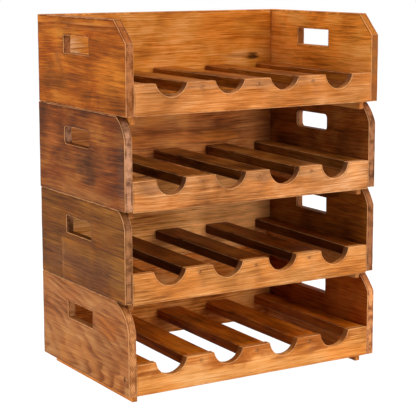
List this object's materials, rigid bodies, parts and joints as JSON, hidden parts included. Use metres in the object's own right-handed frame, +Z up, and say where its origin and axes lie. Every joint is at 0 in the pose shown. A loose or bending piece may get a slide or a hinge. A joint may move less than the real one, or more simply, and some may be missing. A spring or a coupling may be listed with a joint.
{
  "type": "wine rack",
  "caption": "Stacking wine rack of nesting wooden bottle crates, each with hand holes in its sides, a scalloped front rail and slats that cradle bottles lying front to back.",
  "frame": {"origin": "on the floor under the middle of the rack, where the lowest crate's runners stand", "axes": "+Z up; the open, scalloped front faces -Y; +X is to the right as seen from the front"},
  "size_m": [0.558, 0.362, 0.6962],
  "materials": {
    "honey_wood": "satin varnish over open grain",
    "amber_wood": "satin varnish over open grain",
    "tan_wood": "satin varnish over open grain",
    "russet_wood": "satin varnish over open grain",
    "umber_wood": "satin varnish over open grain",
    "nail_iron": "dull, darkened"
  },
  "bodies": {
    "crate_1": {"crate_1_side_left": "tan_wood", "crate_1_side_right": "tan_wood", "crate_1_back_panel": "honey_wood", "crate_1_front_rail": "honey_wood", "crate_1_slat_1": "russet_wood", "crate_1_slat_2": "russet_wood", "crate_1_slat_3": "russet_wood", "crate_1_slat_4": "russet_wood", "crate_1_slat_5": "russet_wood", "crate_1_runner_left": "honey_wood", "crate_1_runner_right": "honey_wood", "crate_1_rail_nail_1": "nail_iron", "crate_1_rail_nail_2": "nail_iron", "crate_1_rail_nail_3": "nail_iron"},
    "crate_2": {"crate_2_side_left": "umber_wood", "crate_2_side_right": "umber_wood", "crate_2_back_panel": "honey_wood", "crate_2_front_rail": "amber_wood", "crate_2_slat_1": "umber_wood", "crate_2_slat_2": "umber_wood", "crate_2_slat_3": "umber_wood", "crate_2_slat_4": "umber_wood", "crate_2_slat_5": "umber_wood", "crate_2_runner_left": "amber_wood", "crate_2_runner_right": "amber_wood", "crate_2_rail_nail_1": "nail_iron", "crate_2_rail_nail_2": "nail_iron", "crate_2_rail_nail_3": "nail_iron"},
    "crate_3": {"crate_3_side_left": "umber_wood", "crate_3_side_right": "umber_wood", "crate_3_back_panel": "russet_wood", "crate_3_front_rail": "tan_wood", "crate_3_slat_1": "umber_wood", "crate_3_slat_2": "umber_wood", "crate_3_slat_3": "umber_wood", "crate_3_slat_4": "umber_wood", "crate_3_slat_5": "umber_wood", "crate_3_runner_left": "tan_wood", "crate_3_runner_right": "tan_wood", "crate_3_rail_nail_1": "nail_iron", "crate_3_rail_nail_2": "nail_iron", "crate_3_rail_nail_3": "nail_iron"},
    "crate_4": {"crate_4_side_left": "amber_wood", "crate_4_side_right": "amber_wood", "crate_4_back_panel": "amber_wood", "crate_4_front_rail": "amber_wood", "crate_4_slat_1": "russet_wood", "crate_4_slat_2": "russet_wood", "crate_4_slat_3": "russet_wood", "crate_4_slat_4": "russet_wood", "crate_4_slat_5": "russet_wood", "crate_4_runner_left": "amber_wood", "crate_4_runner_right": "amber_wood", "crate_4_rail_nail_1": "nail_iron", "crate_4_rail_nail_2": "nail_iron", "crate_4_rail_nail_3": "nail_iron"}
  },
  "joints": [
    {"name": "crate_2_lift", "type": "slide", "parent": "crate_1", "child": "crate_2", "axis": [0, 0, 1], "range_m": [0, 0.2]},
    {"name": "crate_3_lift", "type": "slide", "parent": "crate_2", "child": "crate_3", "axis": [0, 0, 1], "range_m": [0, 0.2]},
    {"name": "crate_4_lift", "type": "slide", "parent": "crate_3", "child": "crate_4", "axis": [0, 0, 1], "range_m": [0, 0.2]}
  ]
}
